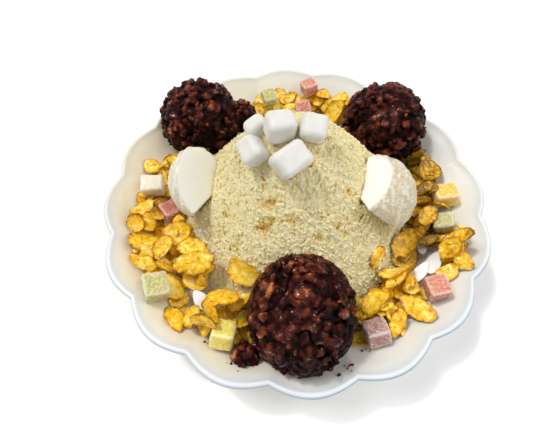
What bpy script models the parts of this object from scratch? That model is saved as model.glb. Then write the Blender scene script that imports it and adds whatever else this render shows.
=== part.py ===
"""A shaved ice dessert in its scalloped dish.

A cone of shaved ice under roasted soybean powder stands in a shallow white dish with
sixteen lobes. Three scoops of sweet red bean paste lean on it, five small rice cakes sit
on its top, two cuts of a round rice cake rest on its flanks, and corn flakes, sugared
jelly cubes and almond slices lie in three heaps round its foot.

Lengths are millimetres and angles are degrees. The finished meshes are metres, +Z up,
with the origin under the middle of the dish. Bearings turn from +X towards +Y.
"""

import math
import random

import bmesh
import bpy
from mathutils import Euler, Matrix, Vector, noise
from mathutils.bvhtree import BVHTree

MM = 0.001
GAP = 0.35
CUT_GAP = 0.4
REST_GAP = 0.8
WELD = 0.05

# Dish
LOBES = 16
LOBE_RADIUS = 102.5
NOTCH_RADIUS = 98.0
NOTCH_BEARING = 14.6
SIDES_PER_LOBE = 6
DISH_HEIGHT = 32.0
FLOOR_HEIGHT = 5.0
FLOOR_RADIUS = 45.0
WALL = 3.4
WALL_FLARE = 1.6
LIP_WIDTH = 3.0
LIP_DROP = 0.6
FOOT_RADIUS = 48.0
FOOT_WIDTH = 4.5
FOOT_RECESS = 2.4

# Ice
MOUND_RADIUS = 67.0
MOUND_BASE = 8.0
MOUND_HEIGHT = 74.0
CONE_RADIUS = 70.0
TOP_ROUNDING = 0.3
MOUND_SIDES = 48
MOUND_RINGS = (7, 18, 32, 47, 59)
MOUND_LUMP = 0.9
MOUND_LUMP_SPACING = 17.0
MOUND_EDGE = 1.2
MOUND_HEM = 66.0
MOUND_UNDERSIDE = (55.0, FLOOR_RADIUS)

# Bean paste: name, then the balls that each scoop is pressed from, as centre, half lengths and whole beans
SCOOPS = {
    "bean_scoop_front": (
        ((1.5, -67.5, 34.5), (24.2, 26.5, 28.5), 34),
        ((-23.0, -83.0, 26.5), (6.0, 5.5, 5.5), 3),
    ),
    "bean_scoop_left": (
        ((-55.6, 51.0, 36.0), (23.2, 22.6, 22.8), 21),
        ((-33.0, 56.5, 33.0), (10.5, 10.0, 10.0), 3),
    ),
    "bean_scoop_right": (
        ((52.4, 46.6, 36.0), (24.2, 24.0, 24.0), 22),
        ((52.0, 26.5, 32.0), (9.5, 9.0, 9.0), 2),
    ),
}
SCOOP_LUMP = 1.9
SCOOP_LUMP_SPACING = 7.0
BEAN_SIDES = 5
BEAN_LENGTH = 8.4
BEAN_WIDTH = 6.0
BEAN_HEIGHT = 5.4
BEAN_SINK = 0.2
BEAN_COVER = 1.7

# Cuts of the large rice cake: centre and radius of the ball, then the outward normal of each flat face
# with its distance from the centre
WEDGES = {
    "rice_cake_wedge_left": (
        (-43.2, -5.5, 49.5), 20.0,
        (((0.85, -0.10, 0.52), -3.6), ((0.73, -0.50, -0.46), 4.8)),
    ),
    "rice_cake_wedge_right": (
        (37.7, -11.9, 47.2), 20.2,
        (((-0.70, 0.13, 0.70), 9.8), ((-0.60, -0.42, -0.68), 3.2), ((-0.63, 0.26, -0.73), 0.3)),
    ),
}

# Small rice cakes: name, centre, size, and turn about X, Y and Z
CAKE_ROUNDING = 3.4
CAKES = (
    ("rice_cake_top", (-8.2, -2.8, 84.6), (13.0, 11.5, 13.0), (2, 6, 16)),
    ("rice_cake_front", (-3.8, -16.6, 80.0), (16.5, 12.5, 11.5), (32, -8, 36)),
    ("rice_cake_right", (5.6, -3.0, 83.6), (12.0, 12.0, 12.5), (22, 10, -4)),
    ("rice_cake_left", (-20.4, -8.2, 76.0), (10.5, 12.5, 12.0), (14, -36, 20)),
    ("rice_cake_back", (-18.5, 6.0, 75.4), (11.0, 10.0, 11.0), (-6, -26, 30)),
)

# Sugared jelly cubes: name, place, edge lengths, spin
JELLY_ROUNDING = 1.3
JELLIES = (
    ("jelly_white", (-79.5, 8.5), (12, 10, 8.5), 8),
    ("jelly_red_left", (-67.5, -8.0), (10.5, 10, 9), 38),
    ("jelly_green_left", (-68.0, -53.5), (11.5, 11.5, 9.5), 18),
    ("jelly_yellow", (-35.0, -77.0), (10.5, 11, 9.5), -6),
    ("jelly_green_back", (-16.2, 80.0), (9, 9, 8), 20),
    ("jelly_red_back", (7.2, 73.5), (9.5, 9, 8.5), 12),
    ("jelly_pink_back", (11.0, 84.5), (9.5, 9, 8), 24),
    ("jelly_orange", (82.5, 1.5), (12, 10.5, 9.5), 4),
    ("jelly_green_right", (79.5, -15.5), (10.5, 8.5, 7.5), -6),
    ("jelly_pink_right", (67.0, -53.0), (10.5, 10.5, 8.5), 10),
    ("jelly_purple", (36.6, -75.5), (10.5, 10.5, 9), 12),
)

# Almond slices: name, place, length, width, spin
ALMOND_THICKNESS = 1.3
ALMONDS = (
    ("almond_right_back", (69.5, -37.0), 15, 7.5, 62),
    ("almond_right_front", (62.0, -42.0), 14, 6.5, 48),
    ("almond_right_inner", (67.0, -24.5), 12, 5.0, 84),
    ("almond_left", (-46.5, -56.5), 15, 8.0, 128),
)

# Flake heaps: name, both ends in steps from a notch, middle radius, reach inward and outward
CORE_DEPTH = 3.0
CORE_EDGE = 0.8
CORE_END = 0.09
HEAP_STEP = 360 / LOBES / 3
HEAPS = {
    "flakes_left": (19, 32, 74.0, 15.0, 14.0),
    "flakes_right": (37, 49, 74.0, 13.0, 13.0),
    "flakes_back": (6, 13, 78.5, 9.0, 8.0),
}
HEAP_ROWS = 5

# Flakes that stand out: bearing, distance from the middle, length, width, spin
FLAKE_SIDES = 8
FLAKE_THICKNESS = 1.6
FLAKE_LEAN = 20.0
FLAKE_TRIES = ((1.0, 0.5, 1.0), (1.0, 1.3, 1.0), (0.4, 1.0, 0.85), (0.4, 1.8, 0.75), (0.0, 1.5, 0.62))
FLAKES = {
    "flakes_left": (
        (165, 85, 13, 9, 134), (168, 76, 16, 8, 93), (178, 73, 12, 7, 32), (186, 82, 13, 9, 36),
        (192, 85, 10, 9, 158), (191, 74, 13, 8, 30), (200, 81, 18, 12, 4), (199, 65, 16, 11, 29),
        (209, 85, 13, 8, 162), (207, 74, 13, 8, 63), (213, 67, 11, 6, 89), (211, 60, 18, 10, 179),
        (220, 64, 22, 11, 1), (232, 67, 19, 14, 136), (224, 76, 15, 12, 159), (229, 88, 16, 8, 123),
        (233, 80, 13, 8, 15), (240, 83, 13, 8, 156), (244, 64, 15, 9, 59), (248, 71, 12, 7, 39),
    ),
    "flakes_right": (
        (13, 78, 17, 13, 42), (3, 73, 13, 9, 168), (355, 78, 15, 8, 173), (349, 70, 18, 12, 51),
        (333, 62, 17, 11, 50), (345, 87, 13, 8, 84), (339, 84, 16, 8, 4), (335, 82, 13, 9, 27),
        (329, 86, 12, 8, 21), (322, 65, 20, 12, 22), (313, 69, 14, 9, 54), (320, 76, 13, 8, 51),
        (312, 84, 18, 10, 143), (301, 70, 16, 11, 30), (303, 83, 14, 7, 68), (296, 83, 11, 7, 3),
    ),
    "flakes_back": (
        (97, 82, 13, 9, 31), (92, 74, 13, 9, 27), (76, 82, 12, 9, 29), (69, 83, 11, 8, 26),
        (69, 74, 17, 11, 42), (106, 75, 11, 8, 33),
    ),
}
FILLERS = {"flakes_left": 14, "flakes_right": 14, "flakes_back": 6}
FILLER_LENGTH = (9.0, 13.5)
FILLER_SLIMNESS = (0.6, 0.8)
FILLER_ROWS = (0.55, -0.6, 0.0)
FILLER_STRAY = 2.0

# Single flakes on the powder: name, bearing, distance, length, width, spin
LONE_FLAKES = (
    ("flake_front_left", 241, 53, 15, 10, 155),
    ("flake_front_right", 317, 55, 12, 7, 59),
)

# Colour and roughness of each material
FINISHES = {
    "glazed_white": ((0.86, 0.88, 0.88), 0.18),
    "bean_powder": ((0.84, 0.74, 0.46), 0.95),
    "bean_paste": ((0.10, 0.025, 0.018), 0.30),
    "rice_cake": ((0.88, 0.87, 0.80), 0.55),
    "corn_flake": ((0.80, 0.47, 0.07), 0.50),
    "almond": ((0.86, 0.80, 0.68), 0.55),
    "jelly_white": ((0.85, 0.78, 0.76), 0.45),
    "jelly_red": ((0.75, 0.20, 0.17), 0.45),
    "jelly_green": ((0.62, 0.74, 0.42), 0.45),
    "jelly_yellow": ((0.90, 0.80, 0.35), 0.45),
    "jelly_pink": ((0.80, 0.42, 0.45), 0.45),
    "jelly_orange": ((0.90, 0.66, 0.34), 0.45),
    "jelly_purple": ((0.58, 0.42, 0.50), 0.45),
}


# Small helpers on vectors and surfaces

def polar(bearing, radius, height=0.0):
    """The point at a bearing and a distance from the middle."""
    angle = math.radians(bearing)
    return Vector((radius * math.cos(angle), radius * math.sin(angle), height))


def bearing_of(point):
    """The bearing of a point, from 0 to 360."""
    return math.degrees(math.atan2(point.y, point.x)) % 360.0


def tree_of(solid):
    """A search tree over the faces of a solid."""
    return BVHTree.FromBMesh(solid)


def highest(trees, x, y):
    """The highest point below the sky on several solids, with its normal."""
    start = Vector((x, y, 500.0))
    best = None
    for tree in trees:
        place, normal, _, _ = tree.ray_cast(start, Vector((0, 0, -1)))
        if place is not None and (best is None or place.z > best[0].z):
            best = (place, normal)
    return best


def touches(solid, trees):
    """True where the faces of a solid cross those of another."""
    own = tree_of(solid)
    return any(own.overlap(tree) for tree in trees)


def grown(solid, amount):
    """A copy of a solid with every face moved outward."""
    copy = solid.copy()
    copy.normal_update()
    moves = [(vert, vert.normal * amount) for vert in copy.verts]
    for vert, move in moves:
        vert.co += move
    return copy


def settle(solid, trees):
    """Lower a solid until it rests on what lies below, with a hair of room."""
    room = min(vert.co.z - highest(trees, vert.co.x, vert.co.y)[0].z for vert in solid.verts)
    bmesh.ops.translate(solid, vec=(0, 0, GAP - room), verts=solid.verts)
    while touches(grown(solid, GAP / 2), trees):
        bmesh.ops.translate(solid, vec=(0, 0, GAP / 2), verts=solid.verts)


def lie_on(solid, trees, x, y, spin, share=0.6, lean=(0.0, 0.0)):
    """Turn a solid to follow part of the slope at a place, and move it there."""
    place, normal = highest(trees, x, y)
    slope = Vector((0, 0, 1)).lerp(normal, share).normalized()
    turn = Vector((0, 0, 1)).rotation_difference(slope).to_matrix().to_4x4()
    tip = Euler((math.radians(lean[0]), math.radians(lean[1]), 0)).to_matrix().to_4x4()
    matrix = Matrix.Translation(place) @ turn @ tip @ Matrix.Rotation(math.radians(spin), 4, "Z")
    bmesh.ops.transform(solid, matrix=matrix, verts=solid.verts)


# Joining and cutting

def loose_object(solid, group):
    """A plain object of a solid, in a collection."""
    mesh = bpy.data.meshes.new("loose")
    solid.to_mesh(mesh)
    item = bpy.data.objects.new("loose", mesh)
    group.objects.link(item)
    return item


def keep_largest(solid):
    """Drop every body of a solid but the one with the most faces."""
    left = set(solid.faces)
    bodies = []
    while left:
        stack = [left.pop()]
        body = set(stack)
        while stack:
            for edge in stack.pop().edges:
                fresh = left.intersection(edge.link_faces)
                left -= fresh
                body |= fresh
                stack.extend(fresh)
        bodies.append(body)
    bodies.sort(key=len)
    scraps = [face for body in bodies[:-1] for face in body]
    bmesh.ops.delete(solid, geom=scraps, context="FACES")


def combined(base, others, operation):
    """Join a solid with others, or cut them out of it, in one step, and keep its largest body."""
    homes = [bpy.data.collections.new(name) for name in ("base", "others")]
    for home in homes:
        bpy.context.scene.collection.children.link(home)
    target = loose_object(base, homes[0])
    for other in others:
        loose_object(other, homes[1])
    step = target.modifiers.new("combine", "BOOLEAN")
    step.operation = operation
    step.operand_type = "COLLECTION"
    step.collection = homes[1]
    graph = bpy.context.evaluated_depsgraph_get()
    result = bmesh.new()
    result.from_mesh(target.evaluated_get(graph).to_mesh())
    for home in homes:
        for item in list(home.objects):
            bpy.data.objects.remove(item)
        bpy.data.collections.remove(home)
    bmesh.ops.remove_doubles(result, verts=result.verts, dist=WELD)
    keep_largest(result)
    bmesh.ops.triangulate(result, faces=result.faces)
    return result


def fused(core, pieces):
    """Join pieces to their core in one step, without any piece that leaves an unclean seam."""
    pieces = list(pieces)
    result = combined(core, pieces, "UNION")
    faults = [edge for edge in result.edges if len(edge.link_faces) != 2]
    while faults:
        spot = faults[0].verts[0].co
        pieces.remove(min(pieces, key=lambda piece: tree_of(piece).find_nearest(spot)[3]))
        result = combined(core, pieces, "UNION")
        faults = [edge for edge in result.edges if len(edge.link_faces) != 2]
    return result


# Dish

def rim_radius(bearing):
    """Radius of the rim: round lobes between notches."""
    swell = abs(math.sin(math.radians((bearing - NOTCH_BEARING) * LOBES / 2)))
    return NOTCH_RADIUS + (LOBE_RADIUS - NOTCH_RADIUS) * swell


def dish_profile():
    """Half section of the dish at a notch, from the middle of the floor to the middle of the foot."""
    inner_rim = NOTCH_RADIUS - LIP_WIDTH
    reach = inner_rim - FLOOR_RADIUS
    rise = DISH_HEIGHT - LIP_DROP - FLOOR_HEIGHT

    def wall_point(share, depth=0.0):
        slope = rise * WALL_FLARE * share ** (WALL_FLARE - 1) / reach
        scale = depth / math.hypot(slope, 1)
        return FLOOR_RADIUS + share * reach + slope * scale, FLOOR_HEIGHT + rise * share ** WALL_FLARE - scale

    points = [(0.0, FLOOR_HEIGHT)]
    points += [wall_point(share) for share in (0.0, 0.35, 0.65, 0.87, 1.0)]
    points += [(NOTCH_RADIUS - LIP_WIDTH / 2, DISH_HEIGHT), (NOTCH_RADIUS, DISH_HEIGHT - 2 * LIP_DROP)]
    points += [wall_point(share, WALL) for share in (1.0, 0.5)]
    points += [(FOOT_RADIUS + 1, FOOT_RECESS - 0.5), (FOOT_RADIUS, 0.0)]
    points += [(FOOT_RADIUS - FOOT_WIDTH, 0.0), (FOOT_RADIUS - FOOT_WIDTH - 1, FOOT_RECESS), (0.0, FOOT_RECESS)]
    return points


def turned(points, steps):
    """A closed solid turned about Z from a half section."""
    solid = bmesh.new()
    verts = [solid.verts.new((radius, 0, height)) for radius, height in points]
    edges = [solid.edges.new(pair) for pair in zip(verts, verts[1:])]
    bmesh.ops.spin(solid, geom=verts + edges, axis=(0, 0, 1), cent=(0, 0, 0), angle=math.tau,
                   steps=steps, use_merge=True)
    bmesh.ops.remove_doubles(solid, verts=solid.verts, dist=0.001)
    turn = Matrix.Rotation(math.radians(NOTCH_BEARING), 4, "Z")
    bmesh.ops.transform(solid, matrix=turn, verts=solid.verts)
    bmesh.ops.recalc_face_normals(solid, faces=solid.faces)
    return solid


def dish():
    """The turned dish, its wall drawn out into lobes."""
    solid = turned(dish_profile(), LOBES * SIDES_PER_LOBE)
    for vert in solid.verts:
        radius = vert.co.xy.length
        share = (radius - FLOOR_RADIUS) / (NOTCH_RADIUS - FLOOR_RADIUS)
        if share > 0:
            vert.co.xy *= 1 + share * (rim_radius(bearing_of(vert.co)) - NOTCH_RADIUS) / radius
    return solid


# Ice under its powder

def mound_height(x, y):
    """Height of the powdered cone, round at the top and a little uneven."""
    share = math.hypot(x, y) / CONE_RADIUS
    drop = (math.hypot(share, TOP_ROUNDING) - TOP_ROUNDING) / (math.hypot(1, TOP_ROUNDING) - TOP_ROUNDING)
    lump = noise.noise(Vector((x, y, 0)) / MOUND_LUMP_SPACING)
    return MOUND_BASE + MOUND_HEIGHT * (1 - drop) + MOUND_LUMP * lump


def mound(dish_tree):
    """The whole cone of ice, its underside on the dish."""
    top = [(radius, 1.0) for radius in (0.0, *MOUND_RINGS, MOUND_HEM)]
    underside = [(radius, 0.0) for radius in (MOUND_RADIUS, *MOUND_UNDERSIDE, 0.0)]
    solid = turned(top + underside, MOUND_SIDES)
    for vert in solid.verts:
        below = highest([dish_tree], vert.co.x, vert.co.y)[0].z + GAP
        if vert.co.z > 0:
            vert.co.z = max(mound_height(vert.co.x, vert.co.y), below + MOUND_EDGE)
        else:
            vert.co.z = below
    bmesh.ops.recalc_face_normals(solid, faces=solid.faces)
    return solid


# Bean paste

def paste_ball(centre, half_lengths, dish_tree):
    """A ball of paste with an uneven skin, flat where it lies on the dish."""
    solid = bmesh.new()
    fineness = 3 if min(half_lengths) > BEAN_LENGTH else 2
    bmesh.ops.create_icosphere(solid, subdivisions=fineness, radius=1.0)
    bmesh.ops.scale(solid, vec=half_lengths, verts=solid.verts)
    for vert in solid.verts:
        lump = noise.noise(vert.co / SCOOP_LUMP_SPACING + Vector(centre))
        vert.co *= 1 + SCOOP_LUMP / half_lengths[0] * lump
        vert.co += Vector(centre)
        vert.co.z = max(vert.co.z, highest([dish_tree], vert.co.x, vert.co.y)[0].z + REST_GAP)
    return solid


def bean(scale, roll):
    """A plump oval bean with few sides, lying along X."""
    solid = bmesh.new()
    bmesh.ops.create_uvsphere(solid, u_segments=BEAN_SIDES, v_segments=3, radius=0.5)
    bmesh.ops.rotate(solid, matrix=Matrix.Rotation(math.pi / 2, 3, "Y"), verts=solid.verts)
    size = Vector((BEAN_LENGTH, BEAN_WIDTH, BEAN_HEIGHT)) * scale
    bmesh.ops.scale(solid, vec=size, verts=solid.verts)
    bmesh.ops.rotate(solid, matrix=Matrix.Rotation(roll, 3, "X"), verts=solid.verts)
    return solid


def beans_on(core, centre, count, obstacles):
    """Whole beans spread evenly over a ball of paste, half sunk in it, clear of its neighbours."""
    draw = random.Random(count)
    core_tree = tree_of(core)
    beans = []
    for index in range(count):
        height = 1 - BEAN_COVER * (index + 0.5) / count
        angle = index * math.pi * (3 - math.sqrt(5)) + draw.uniform(-0.25, 0.25)
        ring = math.sqrt(1 - height * height)
        outward = Vector((ring * math.cos(angle), ring * math.sin(angle), height))
        place, _, _, _ = core_tree.ray_cast(Vector(centre), outward)
        solid = bean(draw.uniform(0.85, 1.1), draw.uniform(0, math.pi))
        turn = outward.to_track_quat("Z", "Y").to_matrix().to_4x4()
        spin = Matrix.Rotation(draw.uniform(0, math.tau), 4, "Z")
        sunk = Matrix.Translation(place - outward * BEAN_SINK)
        bmesh.ops.transform(solid, matrix=sunk @ turn @ spin, verts=solid.verts)
        if not touches(grown(solid, GAP), obstacles):
            beans.append(solid)
    return beans


# Rice cakes

def wedge(centre, radius, flats):
    """A ball of rice cake cut by flat faces."""
    solid = bmesh.new()
    bmesh.ops.create_icosphere(solid, subdivisions=3, radius=radius)
    for normal, distance in flats:
        direction = Vector(normal).normalized()
        cut = bmesh.ops.bisect_plane(solid, geom=solid.verts[:] + solid.edges[:] + solid.faces[:],
                                     plane_co=direction * distance, plane_no=direction, clear_outer=True)
        rim = [item for item in cut["geom_cut"] if isinstance(item, bmesh.types.BMEdge)]
        bmesh.ops.contextual_create(solid, geom=rim)
    bmesh.ops.translate(solid, vec=centre, verts=solid.verts)
    bmesh.ops.remove_doubles(solid, verts=solid.verts, dist=WELD)
    bmesh.ops.recalc_face_normals(solid, faces=solid.faces)
    return solid


def block(size, rounding, segments):
    """A box with round edges, standing on Z = 0."""
    solid = bmesh.new()
    bmesh.ops.create_cube(solid, size=1.0)
    bmesh.ops.scale(solid, vec=size, verts=solid.verts)
    bmesh.ops.translate(solid, vec=(0, 0, size[2] / 2), verts=solid.verts)
    bmesh.ops.bevel(solid, geom=solid.edges[:], offset=rounding, segments=segments, profile=0.5,
                    affect="EDGES", material=-1)
    return solid


def small_cake(centre, size, turn):
    """A soft rounded block of rice cake."""
    solid = block(size, CAKE_ROUNDING, 2)
    bmesh.ops.translate(solid, vec=(0, 0, -size[2] / 2), verts=solid.verts)
    matrix = Matrix.Translation(centre) @ Euler([math.radians(angle) for angle in turn]).to_matrix().to_4x4()
    bmesh.ops.transform(solid, matrix=matrix, verts=solid.verts)
    return solid


# Flakes and almonds

def flake(length, width, thickness, seed, curl=0.16, raggedness=0.10):
    """A thin curled oval with an uneven edge, both faces split alike."""
    draw = random.Random(seed)
    solid = bmesh.new()
    bmesh.ops.create_uvsphere(solid, u_segments=FLAKE_SIDES, v_segments=3, radius=1.0)
    ring = math.sin(math.pi / 3)
    edge = [1 + draw.uniform(-raggedness, raggedness) for _ in range(FLAKE_SIDES)]
    bow = curl * length * draw.uniform(0.5, 1.0) * draw.choice((-1, 1))
    twist = curl * width * draw.uniform(-0.8, 0.8)
    for vert in solid.verts:
        side = round(math.atan2(vert.co.y, vert.co.x) / math.tau * FLAKE_SIDES) % FLAKE_SIDES
        x = vert.co.x / ring * edge[side]
        y = vert.co.y / ring * edge[side]
        lift = bow * x * x + twist * x * y
        vert.co = Vector((x * length / 2, y * width / 2, vert.co.z * thickness / 2 + lift))
    middle = sum(vert.co.z for vert in solid.verts) / len(solid.verts)
    bmesh.ops.translate(solid, vec=(0, 0, -middle), verts=solid.verts)
    return solid


def heap_bearing(steps):
    """The bearing that lies some heap steps past the first notch."""
    return NOTCH_BEARING + steps * HEAP_STEP


def heap_core(first, last, middle, inward, outward, trees):
    """The low bed of a flake heap: a blanket that follows what lies below it."""
    columns = last - first
    solid = bmesh.new()
    bmesh.ops.create_grid(solid, x_segments=columns, y_segments=HEAP_ROWS, size=1.0)
    depth = solid.verts.layers.float.new("depth")
    for vert in solid.verts:
        along = (vert.co.x + 1) / 2
        across = vert.co.y
        from_end = min(along, 1 - along)
        fullness = math.sqrt(math.sin(math.pi * max(from_end, CORE_END)))
        reach = (outward if across > 0 else inward) * fullness
        taper = min(1.0, CORE_END + from_end / CORE_END)
        vert[depth] = CORE_EDGE + CORE_DEPTH * math.sqrt(1 - across * across) * taper
        place = polar(heap_bearing(first + along * columns), middle + across * reach)
        place.z = highest(trees, place.x, place.y)[0].z + REST_GAP
        vert.co = place
    shell = bmesh.ops.extrude_face_region(solid, geom=solid.faces[:])
    top = [item for item in shell["geom"] if isinstance(item, bmesh.types.BMVert)]
    for vert in top:
        vert.co.z += vert[depth]
    bmesh.ops.triangulate(solid, faces=solid.faces)
    bmesh.ops.recalc_face_normals(solid, faces=solid.faces)
    return solid


def filler_places(name, draw):
    """Rows of smaller flakes that fill a heap between the ones that stand out."""
    first, last, middle, inward, outward = HEAPS[name]
    count = FILLERS[name]
    for index in range(count):
        bearing = heap_bearing(first + (last - first) * (index + 0.5) / count)
        side = FILLER_ROWS[index % len(FILLER_ROWS)]
        distance = middle + side * (outward if side > 0 else inward) + draw.uniform(-FILLER_STRAY, FILLER_STRAY)
        length = draw.uniform(*FILLER_LENGTH)
        yield bearing, distance, length, length * draw.uniform(*FILLER_SLIMNESS), draw.uniform(0, 180)


def placed_flake(row, number, bed, lean, obstacles):
    """A flake on the bed of its heap, tipped less, raised or shortened where it would cross a neighbour."""
    bearing, distance, length, width, spin = row
    place = polar(bearing, distance)
    for share, lift, size in FLAKE_TRIES:
        solid = flake(size * length, size * width, FLAKE_THICKNESS, number)
        lie_on(solid, [bed], place.x, place.y, spin, 1.0, (share * lean[0], share * lean[1]))
        bmesh.ops.translate(solid, vec=(0, 0, lift), verts=solid.verts)
        if not touches(grown(solid, GAP), obstacles):
            return solid
    return None


def heap_flakes(name, core, obstacles):
    """The flakes that show on a heap, clear of the dish and of every topping."""
    draw = random.Random(len(FLAKES[name]))
    bed = tree_of(core)
    kept = []
    kept_trees = [bed]
    for number, row in enumerate(list(FLAKES[name]) + list(filler_places(name, draw))):
        lean = (draw.uniform(-FLAKE_LEAN, FLAKE_LEAN), draw.uniform(-FLAKE_LEAN, FLAKE_LEAN))
        place = polar(row[0], row[1])
        if highest([bed], place.x, place.y) is None:
            continue
        solid = placed_flake(row, number, bed, lean, obstacles)
        if solid is not None and touches(solid, kept_trees):
            kept.append(solid)
            kept_trees.append(tree_of(solid))
    return kept


# Putting the dessert together

def material(slot):
    """A plain finish in the colour of its food."""
    finish = bpy.data.materials.get(slot)
    if finish is None:
        colour, roughness = FINISHES[slot]
        finish = bpy.data.materials.new(slot)
        finish.use_nodes = True
        shader = finish.node_tree.nodes["Principled BSDF"]
        shader.inputs["Base Color"].default_value = (*colour, 1)
        shader.inputs["Roughness"].default_value = roughness
        shader.inputs["Metallic"].default_value = 0.0
    return finish


def place_object(name, solid, slot, smooth_angle=40):
    """Turn a finished solid into a named object, in metres."""
    mesh = bpy.data.meshes.new(name)
    bmesh.ops.scale(solid, vec=(MM, MM, MM), verts=solid.verts)
    solid.to_mesh(mesh)
    solid.free()
    mesh.shade_smooth()
    mesh.set_sharp_from_angle(angle=math.radians(smooth_angle))
    mesh.materials.append(material(slot))
    item = bpy.data.objects.new(name, mesh)
    bpy.context.scene.collection.objects.link(item)


def jelly_slot(name):
    """The material of a jelly cube, from the colour in its name."""
    return "_".join(name.split("_")[:2])


def main():
    for item in list(bpy.data.objects):
        bpy.data.objects.remove(item)

    base = dish()
    dish_tree = tree_of(base)
    whole_mound = mound(dish_tree)

    balls = {}
    for name, rows in SCOOPS.items():
        main_ball, *lumps = [paste_ball(centre, half_lengths, dish_tree) for centre, half_lengths, _ in rows]
        balls[name] = fused(main_ball, lumps)
    wedges = {name: wedge(*row) for name, row in WEDGES.items()}
    cakes = {row[0]: small_cake(*row[1:]) for row in CAKES}

    cutters = [grown(solid, CUT_GAP) for solid in list(balls.values()) + list(wedges.values()) + list(cakes.values())]
    ice = combined(whole_mound, cutters, "DIFFERENCE")
    ground = [dish_tree, tree_of(whole_mound)]
    cores = {}
    for name, row in HEAPS.items():
        cores[name] = combined(heap_core(*row, ground), cutters, "DIFFERENCE")

    ice_tree = tree_of(ice)
    bed = [dish_tree, ice_tree] + [tree_of(core) for core in cores.values()]
    upper = [tree_of(solid) for solid in list(wedges.values()) + list(cakes.values())]

    scoops = {}
    for name, rows in SCOOPS.items():
        beans = []
        for centre, _, count in rows:
            beans += beans_on(balls[name], centre, count, bed + upper)
        scoops[name] = fused(balls[name], beans)
    scoop_trees = [tree_of(solid) for solid in scoops.values()]

    toppings = {}
    for name, place, size, spin in JELLIES:
        cube = block(size, JELLY_ROUNDING, 1)
        lie_on(cube, bed, *place, spin, share=0.8)
        toppings[name] = (cube, jelly_slot(name))
    for number, (name, place, length, width, spin) in enumerate(ALMONDS):
        slice_solid = flake(length, width, ALMOND_THICKNESS, number, curl=0.04, raggedness=0.03)
        lie_on(slice_solid, bed, *place, spin, share=0.8)
        toppings[name] = (slice_solid, "almond")
    for number, (name, bearing, distance, length, width, spin) in enumerate(LONE_FLAKES):
        place = polar(bearing, distance)
        single = flake(length, width, FLAKE_THICKNESS, number)
        lie_on(single, bed, place.x, place.y, spin, share=1.0)
        toppings[name] = (single, "corn_flake")
    settled = []
    for solid, _ in toppings.values():
        settle(solid, bed + scoop_trees + settled)
        settled.append(tree_of(solid))

    obstacles = [dish_tree, ice_tree] + upper + scoop_trees + settled

    place_object("dish", base, "glazed_white")
    place_object("ice_mound", ice, "bean_powder")
    for name, core in cores.items():
        place_object(name, fused(core, heap_flakes(name, core, obstacles)), "corn_flake", 30)
    for name, solid in scoops.items():
        place_object(name, solid, "bean_paste", 60)
    for name, solid in list(wedges.items()) + list(cakes.items()):
        place_object(name, solid, "rice_cake")
    for name, (solid, slot) in toppings.items():
        place_object(name, solid, slot)


main()
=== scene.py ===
"""A shaved ice dessert in its scalloped dish, with bean paste, rice cakes, flakes, jelly and almonds.

Lengths are millimetres while a piece is made and metres once it is finished. Angles are degrees,
and bearings turn from +X towards +Y.
"""

import math
import random

import bmesh
import bpy
import numpy as np
from mathutils import Euler, Matrix, Vector, noise
from mathutils.bvhtree import BVHTree


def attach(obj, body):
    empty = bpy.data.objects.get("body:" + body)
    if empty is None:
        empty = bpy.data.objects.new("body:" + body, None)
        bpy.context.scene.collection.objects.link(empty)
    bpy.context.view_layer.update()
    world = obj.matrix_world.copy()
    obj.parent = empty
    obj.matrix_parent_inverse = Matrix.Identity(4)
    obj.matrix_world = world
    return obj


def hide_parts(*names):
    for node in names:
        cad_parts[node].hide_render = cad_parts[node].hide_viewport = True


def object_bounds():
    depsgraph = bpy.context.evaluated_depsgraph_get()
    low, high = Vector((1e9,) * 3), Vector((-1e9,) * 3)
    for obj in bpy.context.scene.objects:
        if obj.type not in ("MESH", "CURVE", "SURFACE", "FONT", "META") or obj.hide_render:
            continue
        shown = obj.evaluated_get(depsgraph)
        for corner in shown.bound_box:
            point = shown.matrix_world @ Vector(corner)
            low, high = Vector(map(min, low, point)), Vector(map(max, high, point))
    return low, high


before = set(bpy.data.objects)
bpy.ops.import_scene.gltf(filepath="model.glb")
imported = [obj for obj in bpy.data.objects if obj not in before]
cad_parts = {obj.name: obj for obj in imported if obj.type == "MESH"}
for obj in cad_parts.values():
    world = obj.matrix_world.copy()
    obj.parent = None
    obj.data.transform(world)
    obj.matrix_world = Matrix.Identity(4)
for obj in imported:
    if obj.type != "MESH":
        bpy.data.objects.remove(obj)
solid_low, solid_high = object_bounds()

MM = 0.001
GOLDEN_ANGLE = math.pi * (3 - math.sqrt(5))

# Dish
LOBES = 16
LOBE_RADIUS = 102.5
NOTCH_RADIUS = 98.0
NOTCH_BEARING = 14.6
SIDES_PER_LOBE = 24
LOBE_EASE = 0.06
DISH_HEIGHT = 32.0
FLOOR_HEIGHT = 5.0
FLOOR_RADIUS = 45.0
WALL = 3.4
WALL_FLARE = 1.6
WALL_STEPS = 20
LIP_WIDTH = 3.0
LIP_DROP = 0.6
LIP_STEPS = 8
LIP_RISE = 1.6
LIP_TURN = 0.86
FOOT_RADIUS = 48.0
FOOT_WIDTH = 4.5
FOOT_RECESS = 2.4

# Powdered ice
MOUND_RADIUS = 67.0
MOUND_BASE = 8.0
MOUND_HEIGHT = 74.0
CONE_RADIUS = 70.0
TOP_ROUNDING = 0.3
MOUND_LUMP = 0.9
MOUND_LUMP_SPACING = 17.0
MOUND_CELLS = 300
MOUND_LIFT = 0.8
GAP_WIDTH = 2.2
GAP_DEPTH = 1.9

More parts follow.
